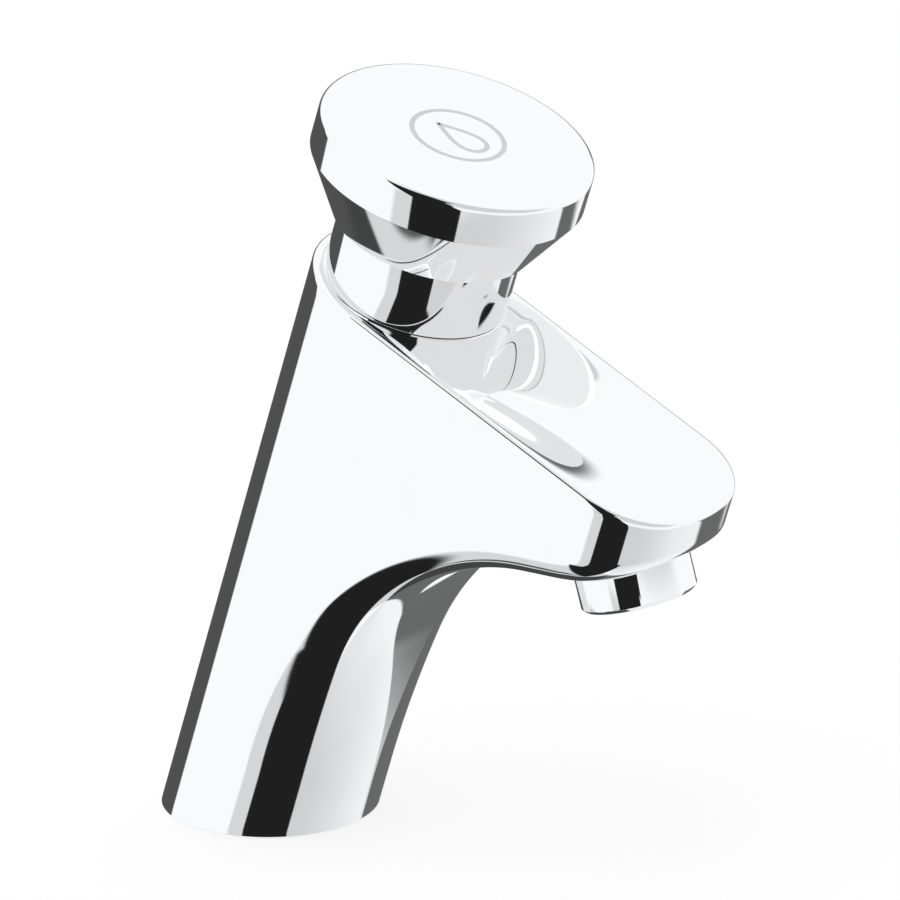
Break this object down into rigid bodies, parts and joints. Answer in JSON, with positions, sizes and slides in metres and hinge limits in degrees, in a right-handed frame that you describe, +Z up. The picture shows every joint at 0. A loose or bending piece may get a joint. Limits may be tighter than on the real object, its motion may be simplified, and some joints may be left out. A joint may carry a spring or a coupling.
{
  "type": "self-closing basin tap",
  "caption": "Self-closing push-button basin tap: leaning round column, arched flat-sided spout with a scooped top, mushroom button and outlet ring.",
  "frame": {"origin": "centre of the column's base, on its underside, where the leaning column axis meets the deck", "axes": "+Z up; the spout points along -Y; +X is to the right of someone who faces the tap from the spout side"},
  "size_m": [0.062, 0.1471, 0.1765],
  "materials": {
    "chrome": "polished",
    "brass": "machined",
    "steel": "stainless",
    "rubber": "matt",
    "acetal": "moulded acetal",
    "grey_plastic": "moulded"
  },
  "bodies": {
    "tap": {"body_casting": "chrome", "base_seal": "rubber", "inlet_filter": "steel", "flow_regulator": "grey_plastic", "neck_sleeve": "chrome", "metering_pin": "steel", "stem_seal": "rubber", "guide_bush": "acetal", "cartridge_body": "brass", "cartridge_lower_seal": "rubber", "cartridge_upper_seal": "rubber", "neck_seal": "rubber", "aerator_housing": "chrome", "aerator_insert": "grey_plastic", "aerator_screen": "steel", "aerator_washer": "rubber", "return_spring": "steel"},
    "button": {"push_button": "chrome", "button_hub": "brass", "hub_screw": "steel", "push_stem": "steel", "piston": "acetal", "piston_seal": "rubber", "piston_clip": "steel", "valve_washer": "rubber", "washer_cup": "brass", "valve_nut": "brass"}
  },
  "joints": [
    {"name": "button_push", "type": "slide", "parent": "tap", "child": "button", "axis": [0, 0.3338, -0.9426], "range_m": [0, 0.007], "stiffness_N_per_m": 2500, "springref_m": -0.006, "deforming": ["return_spring"]}
  ]
}
